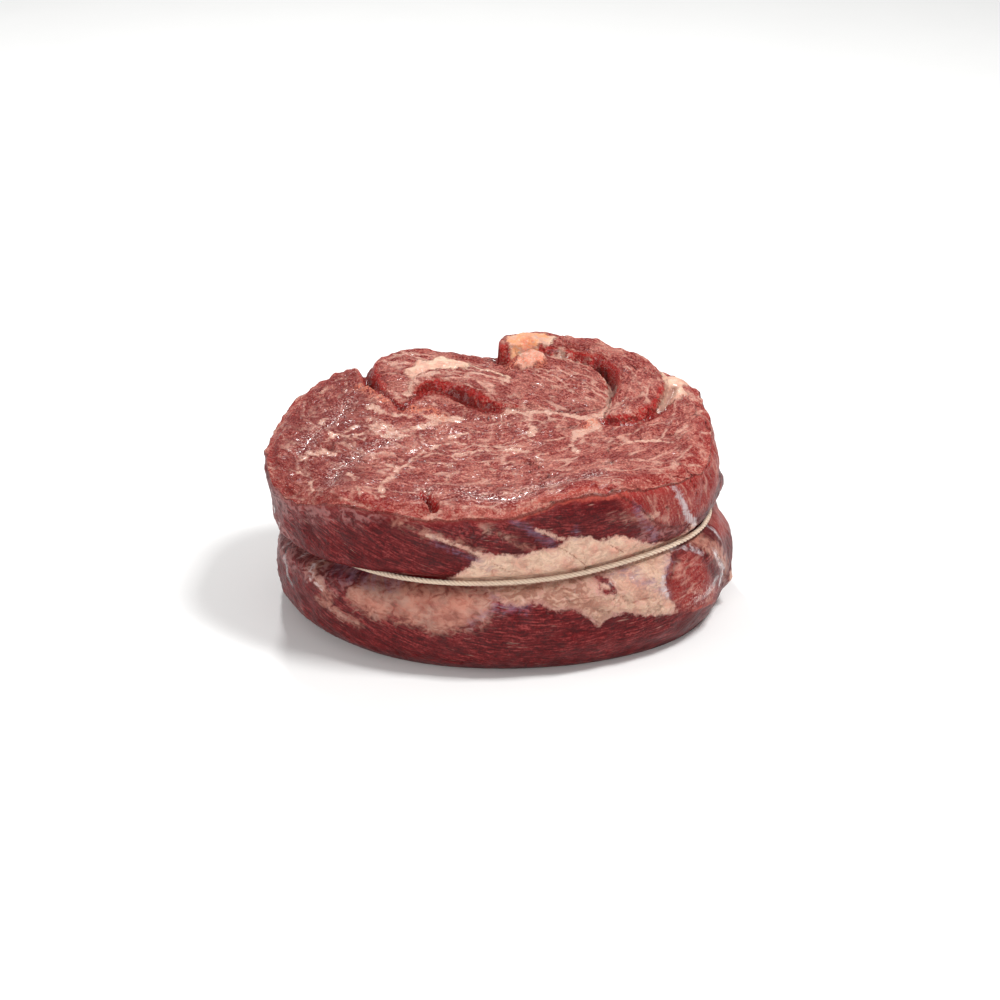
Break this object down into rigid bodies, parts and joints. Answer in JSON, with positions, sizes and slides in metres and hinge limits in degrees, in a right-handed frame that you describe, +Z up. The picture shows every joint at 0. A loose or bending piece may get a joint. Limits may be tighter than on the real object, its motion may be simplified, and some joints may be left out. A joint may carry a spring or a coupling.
{
  "type": "raw rolled beef joint",
  "caption": "Thick boneless joint of raw beef, rolled and tied round its waist with butcher's string, standing on its flat cut end",
  "frame": {"origin": "the middle of the bounding box on the resting plane", "axes": "+Z up out of the upper cut face, +X to the right along the joint's greatest width, -Y towards the side with the layer of fat"},
  "size_m": [0.2018, 0.1674, 0.094],
  "materials": {
    "meat": "moist raw meat, satin to wet gloss",
    "twine": "matt twisted cotton"
  },
  "bodies": {
    "root": {"beef": "meat", "string": "twine"}
  },
  "joints": []
}
